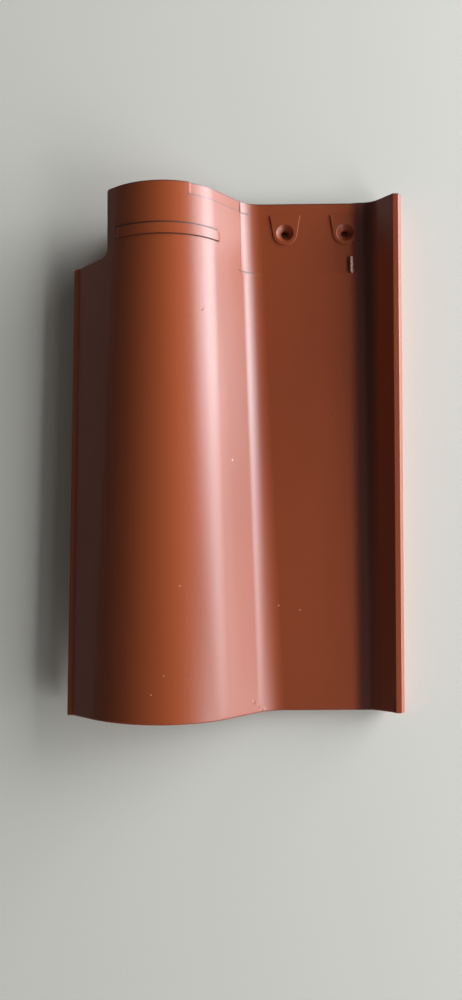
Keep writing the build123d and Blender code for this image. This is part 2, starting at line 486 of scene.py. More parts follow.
    def draw_lower(self, steps: "SectionSteps") -> None:
        """Draws the lower outline from the free edge under barrel and pan to the outer wall.

        Args:
            steps: Steps of each stretch.
        """
        sizes = self.sizes
        flange_z = self.flank_point(self.edge_x + sizes.flange_width, 0.0)[1]
        low_z = flange_z - sizes.edge_face
        climb = low_z - self.flank_point(self.edge_x, -sizes.wall)[1]
        under_x = self.edge_x + climb / math.tan(math.radians(sizes.flank_slope))
        pen = Pen(DrawingPlane.SECTION, self.y, (self.edge_x, flange_z - sizes.edge_face / 2))
        pen.rounded((self.edge_x, low_z), (under_x, low_z), sizes.edge_radius, steps.corner)
        pen.line((under_x, low_z))
        self.draw_barrel(pen, -sizes.wall, steps)
        side, base = self.outer_wall()
        pen.line((self.pan_end, -sizes.seat_flat), steps.pan)
        pen.rounded(base, side, sizes.lip_heel_radius, steps.heel)
        pen.line(tuple((Vector(side) + Vector(base)) / 2), steps.outer_wall)

    def outer_wall(self) -> tuple[Pair, Pair]:
        """Finds the lip's outer wall.

        Returns:
            Its upper and its lower corner.
        """
        sizes = self.sizes
        side = (sizes.width / 2, self.rim_z - sizes.rim_bevel)
        drop = side[1] + sizes.seat_flat
        return side, (side[0] - drop * math.tan(math.radians(sizes.lip_lean)), -sizes.seat_flat)


@dataclass(frozen=True)
class SectionSteps:
    """Steps of each stretch of a section, the same at every section so that corners pair up."""

    corner: int = 4
    left_flank: int = 6
    left_arc: int = 20
    right_arc: int = 22
    right_flank: int = 2
    fold: int = 12
    pan: int = 3
    pan_guard: float = 2.5
    lip: int = 10
    rim: int = 3
    rim_guard: float = 2.6
    heel: int = 8
    outer_wall: int = 2


@dataclass
class TileDetail:
    """Something that the tile is made of, drawn from the sizes of the whole tile."""

    sizes: TileSizes = field(default_factory=TileSizes)
    steps: SectionSteps = field(default_factory=SectionSteps)


@dataclass
class TileBody(TileDetail):
    """The pressed section from foot to head, flat where it sits and rounded along its foot arris."""

    row_pitch: float = 10.0
    row_clearance: float = 1.6
    foot_radius: float = 1.6
    foot_steps: int = 4
    foot_rim_gap: float = 1.5
    top_skin_rise: float = 0.2
    level_rise: float = 0.999999
    merge_angle: float = 0.2

    def rows(self, features: list[float]) -> list[float]:
        """Places of the rows across the tile, clear of the feature edges.

        Args:
            features: Places of feature edges along the tile.

        Returns:
            The places, from foot to head.
        """
        count = round(self.sizes.length / self.row_pitch)
        places = [self.sizes.foot_y + self.row_pitch * step for step in range(1, count)]
        return [y for y in places if min(abs(y - edge) for edge in features) > self.row_clearance]

    def build(self, features: list[float]) -> bpy.types.Object:
        """Makes the plain body.

        Args:
            features: Places of feature edges along the tile, which no row comes near.

        Returns:
            The body, in object mode.
        """
        sizes = self.sizes
        piece = start_piece("glazed_tile")
        foot = Section(sizes, sizes.foot_y)
        head = Section(sizes, sizes.head_y)
        foot.draw_upper(self.steps)
        head.draw_upper(self.steps)
        bridge_shown()
        foot.draw_lower(self.steps)
        head.draw_lower(self.steps)
        bridge_shown()
        close_solid()

        bpy.ops.object.mode_set(mode="EDIT")
        for y in self.rows(features):
            take_all()
            bpy.ops.mesh.bisect(plane_co=(0.0, y, 0.0), plane_no=(0.0, 1.0, 0.0))
        trim(ORIGIN, DOWN)
        take_all()
        bpy.ops.mesh.normals_make_consistent(inside=False)
        self.merge_pan(piece)
        self.round_foot(piece)
        finish_edit()
        return piece

    def merge_pan(self, piece: bpy.types.Object) -> None:
        """Makes the level pan one stretch, so that what is worked into it meets no row.

        Args:
            piece: Body in edit mode.
        """
        level = self.sizes.pan_top - LEVEL_SLACK

        def on_pan(face: bmesh.types.BMFace) -> bool:
            """Whether a face lies level on the pan."""
            return face.normal.z > self.level_rise and min(v.co.z for v in face.verts) > level

        select_parts(piece, PartKind.FACE, on_pan)
        bpy.ops.mesh.dissolve_limited(angle_limit=math.radians(self.merge_angle))

    def round_foot(self, piece: bpy.types.Object) -> None:
        """Rounds the arris between the foot face and the upper skin.

        Args:
            piece: Body in edit mode.
        """
        foot_y = self.sizes.foot_y
        last_x = self.sizes.width / 2 - self.sizes.rim_width - self.foot_rim_gap

        def on_arris(edge: bmesh.types.BMEdge) -> bool:
            """Whether an edge lies between the foot face and the upper skin, short of the rim."""
            if any(abs(v.co.y - foot_y) > LEVEL_SLACK or v.co.x > last_x for v in edge.verts):
                return False
            return any(face.normal.z > self.top_skin_rise for face in edge.link_faces)

        select_parts(piece, PartKind.EDGE, on_arris)
        bpy.ops.mesh.bevel(
            offset_type="OFFSET",
            offset=self.foot_radius,
            segments=self.foot_steps,
            affect="EDGES",
            clamp_overlap=False,
        )


@dataclass
class SkinSheet(TileDetail):
    """Sheet of skin over the barrel, made a solid by moving it up or down."""

    lip_gap: float = 3.0
    lip_ramp: float = 6.5
    ramp_spill: float = 0.05

    def draw(self, places: list[Pair], lift_off: float, reach_pan: bool) -> None:
        """Draws the sheet in edit mode and gives it a thickness.

        Args:
            places: Pairs of place along the tile and height over the upper skin.
            lift_off: How far the sheet is moved, up where positive.
            reach_pan: Whether the sheet goes on over the pan.
        """
        for near, far in zip(places, places[1:]):
            for y, lift in (near, far):
                section = Section(self.sizes, y)
                pen = Pen(DrawingPlane.SECTION, y, section.flank_point(section.edge_x, lift))
                section.draw_barrel(pen, lift, self.steps)
                if reach_pan:
                    top = self.sizes.pan_top + lift
                    pen.line((section.pan_start + self.steps.pan_guard, top))
                    pen.line((section.pan_end - self.lip_gap - self.lip_ramp, top), self.steps.pan)
                    pen.line((section.pan_end - self.lip_gap, self.sizes.pan_top + self.ramp_spill))
            bridge_shown()
        bpy.ops.mesh.reveal(select=False)
        merge_all()
        extrude(lift_off)

    def trimmed(self, low_x: float, high_x: float | None = None) -> None:
        """Trims the sheet at its sides and closes it.

        Args:
            low_x: Where it starts across the tile.
            high_x: Where it ends, if it is trimmed there.
        """
        trim((low_x, 0.0, 0.0), LEFT)
        if high_x is not None:
            trim((high_x, 0.0, 0.0), RIGHT)
        close_solid()


@dataclass
class WeatherRib(TileDetail):
    """Raised rib across the barrel that keeps wind-blown rain out."""

    from_head: float = 32.0
    width: float = 7.5
    height: float = 1.1
    left_reach: float = 33.5
    right_reach: float = 42.5
    root: float = 6.0

    def edges(self) -> Pair:
        """Places of the rib's two long edges along the tile."""
        upper = self.sizes.head_y - self.from_head
        return upper - self.width, upper

    def build(self) -> bpy.types.Object:
        """Makes the rib.

        Returns:
            A solid that reaches into the wall.
        """
        low, high = self.edges()
        crown_x = Section(self.sizes, (low + high) / 2).crown[0]
        piece = start_piece("weather_rib")
        places = [(low, self.height), (high, self.height)]
        skin = SkinSheet(self.sizes, self.steps)
        skin.draw(places, -self.root, False)
        skin.trimmed(crown_x - self.left_reach, crown_x + self.right_reach)
        return piece


@dataclass
class HeadlapSink(TileDetail):
    """Sunk part of fold and pan that takes the tile above, with a sloped step at its foot side."""

    length: float = 57.0
    sink: float = 1.4
    step_run: float = 3.0
    fold_reach: float = 16.0
    clear_height: float = 9.0
    past_head: float = 0.3

    def build(self) -> bpy.types.Object:
        """Makes the sink.

        Returns:
            The solid that is cut away.
        """
        step_y = self.sizes.head_y - self.length
        past_head = self.sizes.head_y + self.past_head
        places = [
            (step_y - self.step_run / 2, self.sink / 2),
            (step_y + self.step_run, -self.sink),
            (past_head, -self.sink),
        ]
        piece = start_piece("headlap_sink")
        skin = SkinSheet(self.sizes, self.steps)
        skin.draw(places, self.clear_height, True)
        skin.trimmed(Section(self.sizes, self.sizes.head_y).pan_start - self.fold_reach)
        return piece


@dataclass
class HeadBand(TileDetail):
    """Shallow sunk band along the head edge of the barrel."""

    length: float = 9.0
    sink: float = 1.2
    crown_gap: float = 21.0
    fold_gap: float = 9.5
    clear_height: float = 9.0
    past_head: float = 0.3

    def edge(self) -> float:
        """Place of the band's foot edge along the tile."""
        return self.sizes.head_y - self.length

    def build(self) -> bpy.types.Object:
        """Makes the band.

        Returns:
            The solid that is cut away.
        """
        head = Section(self.sizes, self.sizes.head_y)
        places = [(self.edge(), -self.sink), (self.sizes.head_y + self.past_head, -self.sink)]
        piece = start_piece("head_band")
        skin = SkinSheet(self.sizes, self.steps)
        skin.draw(places, self.clear_height, False)
        skin.trimmed(head.crown[0] + self.crown_gap, head.pan_start - self.fold_gap)
        return piece


@dataclass
class CornerNotch(TileDetail):
    """Notch beside the head, cut a little askew, with rounded corners."""

    length: float = 55.0
    depth: float = 35.0
    slant: float = 4.5
    inner_radius: float = 6.0
    outer_radius: float = 2.5
    outer_spill: float = 0.2
    head_radius: float = 2.0
    head_spill: float = 0.1
    below: float = -5.0
    height: float = 90.0
    arc_steps: int = 6

    def edge(self) -> float:
        """Place of the notch's ledge along the tile."""
        return self.sizes.head_y - self.length

    def build(self) -> bpy.types.Object:
        """Makes the notch.

        Returns:
            The solid that is cut away.
        """
        sizes = self.sizes
        notch_x = -sizes.width / 2 + self.depth
        notch_y = self.edge()
        outside = -sizes.width / 2 - sizes.wall
        past_head = sizes.head_y + self.head_spill
        root = Vector((notch_x, notch_y + self.slant))
        ledge_end = Vector((Section(sizes, notch_y).edge_x, notch_y))
        ledge_way = (ledge_end - root).normalized()
        outer_end = ledge_end - Vector((self.outer_spill, self.outer_radius))
        outer_start = ledge_end - ledge_way * self.outer_radius
        piece = start_piece("corner_notch")
        corner = (notch_x + self.head_radius, past_head)
        pen = Pen(DrawingPlane.PLAN, self.below, corner)
        centre = (notch_x + self.head_radius, past_head - self.head_radius)
        pen.arc(centre, 90.0, self.arc_steps)
        pen.rounded(tuple(root), tuple(ledge_end), self.inner_radius, self.arc_steps)
        pen.line(tuple(outer_start))
        way_across = outer_end - outer_start
        turn = 2 * way_across.angle_signed(ledge_way)
        radius = way_across.length / (2 * math.sin(abs(turn) / 2))
        side = Vector((-ledge_way.y, ledge_way.x)) * math.copysign(radius, turn)
        pen.arc(tuple(outer_start + side), math.degrees(turn), self.arc_steps)
        pen.line((outside, outer_end.y))
        pen.line((outside, past_head))
        pen.line(corner)
        raise_outline(self.height)
        finish_edit()
        return piece


@dataclass
class BattenHeel(TileDetail):
    """Heel under the barrel that hooks behind the batten and reaches down to the level of the pan."""

    from_head: float = 14.0
    thickness: float = 14.0
    left_reach: float = 32.0
    right_reach: float = 18.0
    corner_radius: float = 4.5
    corner_steps: int = 4
    draft: float = 6.0
    top: float = 62.0
    below: float = 80.0
    upright: float = 1.0
    top_rise: float = 0.9

    def build(self) -> bpy.types.Object:
        """Makes the heel.

        Returns:
            A solid that reaches into the wall above it.
        """
        sizes = self.sizes
        head = Section(sizes, sizes.head_y)
        width = self.left_reach + self.right_reach
        centre_x = head.crown[0] + (self.right_reach - self.left_reach) / 2
        centre_y = sizes.head_y - self.from_head - self.thickness / 2
        bpy.ops.object.select_all(action="DESELECT")
        bpy.ops.mesh.primitive_cube_add(size=1.0, location=(centre_x, centre_y, self.top / 2))
        piece = bpy.context.object
        piece.name = "batten_heel"
        bpy.ops.object.mode_set(mode="EDIT")
        bpy.ops.transform.resize(value=(width, self.thickness, self.top))
        bpy.ops.object.mode_set(mode="OBJECT")
        bpy.ops.object.transform_apply(location=True, rotation=True, scale=True)
        bpy.ops.object.mode_set(mode="EDIT")
        select_parts(
            piece,
            PartKind.EDGE,
            lambda edge: abs(edge.verts[0].co.z - edge.verts[1].co.z) > self.upright,
        )
        bpy.ops.mesh.bevel(offset=self.corner_radius, segments=self.corner_steps, affect="EDGES")
        select_parts(piece, PartKind.FACE, lambda face: face.normal.z > self.top_rise)
        grow = 2 * self.top * math.tan(math.radians(self.draft))
        bpy.ops.transform.resize(
            value=(1.0 + grow / width, 1.0 + grow / self.thickness, 1.0),
            center_override=(centre_x, centre_y, self.top),
        )
        finish_edit()
        space = start_piece("space_under_barrel")
        places = [(sizes.foot_y, -sizes.wall / 2), (sizes.head_y, -sizes.wall / 2)]
        SkinSheet(sizes, self.steps).draw(places, -self.below, False)
        trim(ORIGIN, DOWN)
        close_solid()
        work_in(piece, space, Joining.KEEP_COMMON)
        return piece


@dataclass
class NailPlace:
    """Countersunk nail hole in a low boss that flares and runs out towards the head."""

    centre: Pair
    hole_radius: float = 2.6
    sink_radius: float = 6.8
    radius: float = 9.6
    height: float = 0.8
    reach: float = 14.0
    flare: float = 2.4
    root: float = 6.0
    around: int = 14
    hole_sides: int = 40
    above: float = 3.0

    def build_boss(self, level: float) -> bpy.types.Object:
        """Makes the boss as a solid that reaches into the pan.

        Args:
            level: Height of the pan round the boss.

        Returns:
            The boss, in object mode.
        """
        x, y = self.centre
        piece = start_piece("nail_boss")
        pen = Pen(DrawingPlane.PLAN, level - self.root, (x - self.radius, y))
        pen.arc(self.centre, 180.0, self.around)
        pen.line((x + self.radius + self.flare, y + self.reach))
        pen.line((x - self.radius - self.flare, y + self.reach))
        pen.line((x - self.radius, y))
        raise_outline(self.root + self.height)
        finish_edit()
        return piece

    def build_hole(self, level: float) -> bpy.types.Object:
        """Makes the solid of the hole and its countersink.

        Args:
            level: Height of the boss.

        Returns:
            The cutter, in object mode.
        """
        sink_depth = self.sink_radius - self.hole_radius
        piece = start_piece("nail_hole")
        bpy.ops.mesh.primitive_circle_add(
            vertices=self.hole_sides,
            radius=self.hole_radius,
            fill_type="NGON",
            location=(*self.centre, -self.above),
        )
        extrude(level - sink_depth + self.above)
        extrude(sink_depth)
        grow = self.sink_radius / self.hole_radius
        bpy.ops.transform.resize(value=(grow, grow, 1.0), center_override=(*self.centre, level))
        extrude(self.above)
        finish_edit()
        return piece


@dataclass
class LocatingNib(TileDetail):
    """Small nib beside the lip that centres the tile above. Its top falls towards the lip."""

    from_head: float = 42.5
    length: float = 13.5
    width: float = 3.0
    height: float = 1.9
    lip_gap: float = 9.1
    root: float = 6.0
    end_steps: int = 8
    top_fall: float = 26.0
    ridge_width: float = 0.6

    def build(self, level: float) -> bpy.types.Object:
        """Makes the nib.

        Args:
            level: Height of the pan round the nib.

        Returns:
            A solid that reaches into the pan.
        """
        sizes = self.sizes
        x = Section(sizes, sizes.head_y).pan_end - self.lip_gap
        high_y = sizes.head_y - self.from_head - self.width / 2
        low_y = sizes.head_y - self.from_head - self.length + self.width / 2
        half = self.width / 2
        piece = start_piece("locating_nib")
        pen = Pen(DrawingPlane.PLAN, level - self.root, (x + half, low_y))
        pen.line((x + half, high_y))
        pen.arc((x, high_y), 180.0, self.end_steps)
        pen.line((x - half, low_y))
        pen.arc((x, low_y), 180.0, self.end_steps)
        raise_outline(self.root + self.height)
        fall = math.radians(self.top_fall)
        ridge = (x - half + self.ridge_width, 0.0, level + self.height)
        trim(ridge, (math.sin(fall), 0.0, math.cos(fall)))
        finish_edit()
        return piece


@dataclass
class RoofTile(TileDetail):
    """The whole fired tile: body, headlap details, nail places, nib and heel in one piece."""

    nail_from_head: float = 23.5
    nail_fold_gap: float = 18.5
    nail_lip_gap: float = 14.0
    arris_radius: float = 0.4
    arris_steps: int = 2
    arris_angle: float = 32.0

    def heel(self) -> BattenHeel:
        """The heel under the barrel."""
        return BattenHeel(self.sizes, self.steps)

    def nails(self) -> list[NailPlace]:
        """Places the nail holes.

        Returns:
            The one beside the fold and the one beside the lip.
        """
        y = self.sizes.head_y - self.nail_from_head
        section = Section(self.sizes, y)
        return [
            NailPlace((section.pan_start + self.nail_fold_gap, y)),
            NailPlace((section.pan_end - self.nail_lip_gap, y)),
        ]

    def build(self) -> bpy.types.Object:
        """Makes the tile and brings it to metres.

        Returns:
            The finished mesh object, at the origin.
        """
        shared = (self.sizes, self.steps)
        rib = WeatherRib(*shared)
        headlap = HeadlapSink(*shared)
        band = HeadBand(*shared)
        notch = CornerNotch(*shared)
        sunk = self.sizes.pan_top - headlap.sink
        tile = TileBody(*shared).build([*rib.edges(), band.edge(), notch.edge()])
        log.info("body: %d faces", len(tile.data.polygons))
        work_in(tile, notch.build(), Joining.CUT)
        work_in(tile, rib.build(), Joining.ADD)
        work_in(tile, self.heel().build(), Joining.ADD)
        work_in(tile, headlap.build(), Joining.CUT)
        work_in(tile, band.build(), Joining.CUT)
        log.info("headlap details: %d faces", len(tile.data.polygons))
        for nail in self.nails():
            work_in(tile, nail.build_boss(sunk), Joining.ADD)
        work_in(tile, LocatingNib(*shared).build(sunk), Joining.ADD)
        for nail in self.nails():
            work_in(tile, nail.build_hole(sunk + nail.height), Joining.CUT)
        log.info("nail places and nib: %d faces", len(tile.data.polygons))
        self.finish(tile)
        return tile

    def finish(self, tile: bpy.types.Object) -> None:
        """Softens the arrises, shades the mesh and brings it to metres.

        Args:
            tile: Tile in object mode, in millimetres.
        """
        angle = math.radians(self.arris_angle)
        pick(tile)
        bpy.ops.object.mode_set(mode="EDIT")
        finish_edit()
        apply_modifier(
            tile,
            "BEVEL",
            width=self.arris_radius,
            segments=self.arris_steps,
            limit_method="ANGLE",
            angle_limit=angle,
            use_clamp_overlap=False,
            miter_outer="MITER_ARC",
        )
        self.level_foot(tile)
        bpy.ops.object.shade_smooth_by_angle(angle=angle)
        apply_modifier(tile, "WEIGHTED_NORMAL", keep_sharp=True)
        tile.scale = (MILLIMETRE, MILLIMETRE, MILLIMETRE)
        bpy.ops.object.transform_apply(location=True, rotation=True, scale=True)

    def level_foot(self, tile: bpy.types.Object) -> None:
        """Brings corners that the softening left past the foot face back to its plane.

        Args:
            tile: Tile in object mode, in millimetres.
        """
        foot_y = self.sizes.foot_y
        bpy.ops.object.mode_set(mode="EDIT")
        select_parts(tile, PartKind.VERT, lambda corner: corner.co.y < foot_y)
        bpy.ops.transform.resize(value=(1.0, 0.0, 1.0), center_override=(0.0, foot_y, 0.0))
        bpy.ops.object.mode_set(mode="OBJECT")


class ShaderSheet:
    """Node tree of a material or a shader group, filled from left to right by short calls."""

    def __init__(self, tree: bpy.types.NodeTree) -> None:
        """Takes the tree that is filled."""
        self.tree = tree

    def node(self, kind: str, feeds: Feeds | None = None, **settings: object) -> bpy.types.Node:
        """Adds a node.

        Args:
            kind: Node type, such as "ShaderNodeMath".
            feeds: What its inputs get, by their name or number.
            settings: Properties of the node, by name.

        Returns:
            The node.
        """
        made = self.tree.nodes.new(kind)
        made.location = (len(self.tree.nodes) * NODE_GAP, 0.0)
        for name, value in settings.items():
            setattr(made, name, value)
        for name, source in (feeds or {}).items():
            self.feed(made.inputs[name], source)
        return made

    def feed(self, socket: Socket, source: object) -> None:
        """Links a socket to an output, or sets its own value.

        Args:
            socket: Input of a node.
            source: Output of a node, or a value.
        """
        if isinstance(source, bpy.types.NodeSocket):
            self.tree.links.new(source, socket)
        else:
            socket.default_value = source

    def place(self) -> Socket:
        """Place on the piece in metres."""
        return self.node("ShaderNodeTexCoord").outputs["Object"]

    def parts(self, place: Socket) -> tuple[Socket, ...]:
        """X, Y and Z of a place."""
        return tuple(self.node("ShaderNodeSeparateXYZ", {0: place}).outputs)

    def math(self, operation: str, *values: object) -> Socket:
        """Result of a math node on the given values."""
        return self.node("ShaderNodeMath", dict(enumerate(values)), operation=operation).outputs["Value"]

    def spread(self, value: object, low: object, high: object) -> Socket:
        """Share of the way that a value has gone from low to high, held between 0 and 1."""
        feeds = {"Value": value, "From Min": low, "From Max": high}
        return self.node("ShaderNodeMapRange", feeds, interpolation_type="SMOOTHSTEP").outputs["Result"]

    def near(self, distance: object, core: object, reach: object) -> Socket:
        """1 up to a distance of core, falling to 0 at reach."""
        return self.math("SUBTRACT", 1.0, self.spread(distance, core, reach))

    def blend_colour(self, share: object, first: object, second: object) -> Socket:
        """Mix of two colours, given as colours or as outputs."""
        made = self.node("ShaderNodeMix", {"Factor": share, "A": first, "B": second}, data_type="RGBA")
        return next(output for output in made.outputs if output.type == "RGBA")

    def noise(self, place: object, scale: object, detail: float) -> Socket:
        """Noise value at a place."""
        feeds = {"Vector": place, "Scale": scale, "Detail": detail}
        return self.node("ShaderNodeTexNoise", feeds).outputs["Fac"]

    def effect(self, group: bpy.types.NodeTree, feeds: Feeds) -> bpy.types.Node:
        """Shared effect, placed with the given inputs."""
        made = self.node("ShaderNodeGroup", node_tree=group)
        for name, value in feeds.items():
            self.feed(made.inputs[name], value)
        return made

    def strongest(self, group: bpy.types.NodeTree, marks: tuple["Mark", ...]) -> Socket:
        """Lays a masking effect once for each mark.

        Args:
            group: Effect with Place in and Mask out.
            marks: Marks of the kind that the effect draws.

        Returns:
            The strongest of their masks.
        """
        place = self.place()
        masks = [self.effect(group, {"Place": place, **mark.feeds()}).outputs["Mask"] for mark in marks]
        strongest = masks[0]
        for mask in masks[1:]:
            strongest = self.math("MAXIMUM", strongest, mask)
        return strongest


class EffectSheet(ShaderSheet):
    """Shader group with named inputs and outputs, filled as a material is."""

    def __init__(self, name: str, inputs: dict[str, object], outputs: tuple[str, ...]) -> None:
        """Starts the group.

        Args:
            name: Name of the group.
            inputs: Default value by input name: one number, or three for a place.
            outputs: Names of the values that it puts out.
        """
        super().__init__(bpy.data.node_groups.new(name, "ShaderNodeTree"))
        sockets = self.tree.interface
        for label, value in inputs.items():
            kind = "NodeSocketFloat" if isinstance(value, float) else "NodeSocketVector"
            sockets.new_socket(label, in_out="INPUT", socket_type=kind).default_value = value
        for label in outputs:
            sockets.new_socket(label, in_out="OUTPUT", socket_type="NodeSocketFloat")
        self.given = self.node("NodeGroupInput").outputs
        self.result = self.node("NodeGroupOutput").inputs


def build_cloud_group() -> bpy.types.NodeTree:
    """Uneven cover: soft clouds drawn out along the tile, and finer grain.

    Returns:
        Group with Place, Cloud Scale, Draw Out and Grain Scale in, and Cloud and Grain out.
    """
    cloud_detail = 3.0
    grain_detail = 2.0
    inputs = {"Place": ORIGIN, "Cloud Scale": 12.0, "Draw Out": 0.35, "Grain Scale": 700.0}
    sheet = EffectSheet("uneven_cover", inputs, ("Cloud", "Grain"))
    given = sheet.given
    x, y, z = sheet.parts(given["Place"])
    drawn_y = sheet.math("MULTIPLY", y, given["Draw Out"])
    drawn = sheet.node("ShaderNodeCombineXYZ", {"X": x, "Y": drawn_y, "Z": z}).outputs[0]
    sheet.feed(sheet.result["Cloud"], sheet.noise(drawn, given["Cloud Scale"], cloud_detail))
    sheet.feed(sheet.result["Grain"], sheet.noise(given["Place"], given["Grain Scale"], grain_detail))
    return sheet.tree


def build_speck_group() -> bpy.types.NodeTree:
    """Scattered specks, each a small round spot in some cells of an even scatter.

    Returns:
        Group with Place, Cells, Radius and Share in, and Mask out.
    """
    least_size = 0.4
    edge_slope = 3.0
    inputs = {"Place": ORIGIN, "Cells": 100.0, "Radius": 0.1, "Share": 0.3}
    sheet = EffectSheet("scattered_specks", inputs, ("Mask",))
    given = sheet.given
    feeds = {"Vector": given["Place"], "Scale": given["Cells"]}
    cells = sheet.node("ShaderNodeTexVoronoi", feeds, feature="F1")
    chance = sheet.node("ShaderNodeSeparateColor", {0: cells.outputs["Color"]}).outputs
    chosen = sheet.math("LESS_THAN", chance["Red"], given["Share"])
    size = sheet.math("MULTIPLY", given["Radius"], sheet.math("ADD", chance["Green"], least_size))
    edge = sheet.math("SUBTRACT", size, cells.outputs["Distance"])
    spot = sheet.math("MULTIPLY", edge, sheet.math("DIVIDE", edge_slope, size))
    held = sheet.node("ShaderNodeClamp", {"Value": spot}).outputs["Result"]
    sheet.feed(sheet.result["Mask"], sheet.math("MULTIPLY", held, chosen))
    return sheet.tree


def build_crease_shade_group() -> bpy.types.NodeTree:
    """Painted shade: a straight dark line across the tile, along a crease or an edge.

    Returns:
        Group with Place, Level, From X, To X and Half Width in, and Mask out.
    """
    inputs = {"Place": ORIGIN, "Level": 0.0, "From X": -0.1, "To X": 0.1, "Half Width": 0.0006}
    sheet = EffectSheet("pooled_crease", inputs, ("Mask",))
    given = sheet.given
    x, y, _ = sheet.parts(given["Place"])
    away = sheet.math("ABSOLUTE", sheet.math("SUBTRACT", y, given["Level"]))
    past_start = sheet.math("GREATER_THAN", x, given["From X"])
    before_end = sheet.math("LESS_THAN", x, given["To X"])
    stretch = sheet.math("MULTIPLY", past_start, before_end)
    line = sheet.near(away, 0.0, given["Half Width"])
    sheet.feed(sheet.result["Mask"], sheet.math("MULTIPLY", line, stretch))
    return sheet.tree


def build_spot_group() -> bpy.types.NodeTree:
    """Single soft round spot at a given place.

    Returns:
        Group with Place, Centre and Radius in, and Mask out.
    """
    inputs = {"Place": ORIGIN, "Centre": ORIGIN, "Radius": 0.001}
    sheet = EffectSheet("single_spot", inputs, ("Mask",))
    feeds = {0: sheet.given["Place"], 1: sheet.given["Centre"]}
    gap = sheet.node("ShaderNodeVectorMath", feeds, operation="DISTANCE").outputs["Value"]
    sheet.feed(sheet.result["Mask"], sheet.near(gap, 0.0, sheet.given["Radius"]))
    return sheet.tree


@dataclass(frozen=True)
class ShaderGroups:
    """The effects that the finishes share."""

    cover: bpy.types.NodeTree
    specks: bpy.types.NodeTree
    crease: bpy.types.NodeTree
    spot: bpy.types.NodeTree


class Mark:
    """Mark on the tile that a masking effect draws. Its fields are that effect's inputs, in metres."""

    def feeds(self) -> Feeds:
        """Inputs of the effect by name, such as "From X" for from_x."""
        return {name.replace("_", " ").title(): value for name, value in vars(self).items()}


@dataclass(frozen=True)
class CreaseShade(Mark):
    """Painted shade along a crease or edge across the tile, at a level."""

    level: float
    from_x: float
    to_x: float
    half_width: float = 0.0011


@dataclass(frozen=True)
class Spot(Mark):
    """Single round spot."""

    centre: Triple
    radius: float = 0.0008


@dataclass(frozen=True)
class Scatter(Mark):
    """Specks in a share of the cells of an even scatter. Their radius is a share of a cell's size."""

    cells: float
    radius: float
    share: float


@dataclass(frozen=True)
class LightAndShadeBand:
    """Stretch along the tile whose colour is painted lighter or darker to stand in for light and shadow, in
    metres.
    """

    centre_x: float
    core: float
    reach: float
    colour: Colour


@dataclass(frozen=True)
class Finish:
    """Opaque finish of the tile. The clouds of its cover are read between two noise values."""

    name: str
    clouds: Pair = (0.35, 0.65)

    def start(self) -> tuple[bpy.types.Material, ShaderSheet, bpy.types.Node]:
        """Makes the material.

        Returns:
            The material, the sheet of its nodes, and its Principled shader.
        """
        finish = bpy.data.materials.new(self.name)
        finish.use_nodes = True
        return finish, ShaderSheet(finish.node_tree), finish.node_tree.nodes["Principled BSDF"]

    def roughen(self, sheet: ShaderSheet, shader: bpy.types.Node, height: Socket) -> None:
        """Gives the finish a relief.

        Args:
            sheet: Sheet of its nodes.
            shader: Its shader.
            height: Height of the relief in metres.
        """
        relief = sheet.node("ShaderNodeBump", {"Distance": 1.0, "Height": height})
        sheet.feed(shader.inputs["Normal"], relief.outputs["Normal"])


